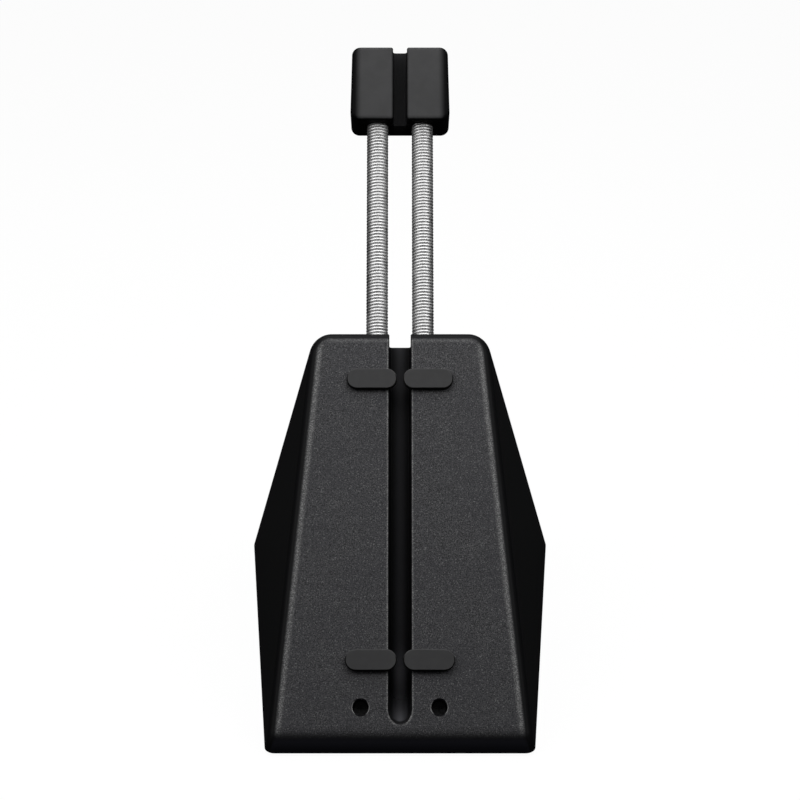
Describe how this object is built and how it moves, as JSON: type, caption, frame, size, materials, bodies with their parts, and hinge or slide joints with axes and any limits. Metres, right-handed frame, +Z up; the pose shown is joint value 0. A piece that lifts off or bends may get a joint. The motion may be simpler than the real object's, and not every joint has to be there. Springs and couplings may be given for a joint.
{
  "type": "mouse bungee",
  "caption": "Weighted wedge stand with a cable channel, and a slotted head on close-wound springs that holds a mouse cable off the desk.",
  "frame": {"origin": "on the desk, in the middle of the whole part's length and width", "axes": "+Z up, +Y towards the mouse (the way the springs lean), -Y the back, where the channelled slope faces, +X to the right seen from the back"},
  "size_m": [0.0658, 0.1054, 0.1091],
  "materials": {
    "housing_plastic": "black moulded plastic with a fine grain on the slope and the steep face, smooth elsewhere",
    "plate_plastic": "plain black moulded plastic",
    "head_plastic": "smooth satin black plastic",
    "tab_rubber": "soft black rubber",
    "foot_rubber": "soft black rubber",
    "spring_steel": "bright drawn spring wire",
    "ballast_steel": "plain cast block",
    "screw_steel": "blackened steel"
  },
  "bodies": {
    "base": {"housing": "housing_plastic", "base_plate": "plate_plastic", "ballast": "ballast_steel", "ballast_screws": "screw_steel", "rear_screws": "screw_steel", "spring_clamp": "plate_plastic", "clamp_screws": "screw_steel", "foot_back_left": "foot_rubber", "foot_back_right": "foot_rubber", "foot_front_left": "foot_rubber", "foot_front_right": "foot_rubber", "cable_tab_upper_left": "tab_rubber", "cable_tab_upper_right": "tab_rubber", "cable_tab_lower_left": "tab_rubber", "cable_tab_lower_right": "tab_rubber"},
    "springs": {"spring_left": "spring_steel", "spring_right": "spring_steel"},
    "head": {"cable_head": "head_plastic"}
  },
  "joints": [
    {"name": "forward_flex", "type": "hinge", "parent": "base", "child": "springs", "pos_m": [0, 0.01363, 0.06725], "axis": [-1, 0, 0], "range_deg": [-25, 35], "stiffness_Nm_per_rad": 0.05, "deforming": ["spring_left", "spring_right"]},
    {"name": "side_sway", "type": "slide", "parent": "springs", "child": "head", "axis": [1, 0, 0], "range_m": [-0.008, 0.008], "stiffness_N_per_m": 60, "deforming": ["spring_left", "spring_right"]}
  ]
}
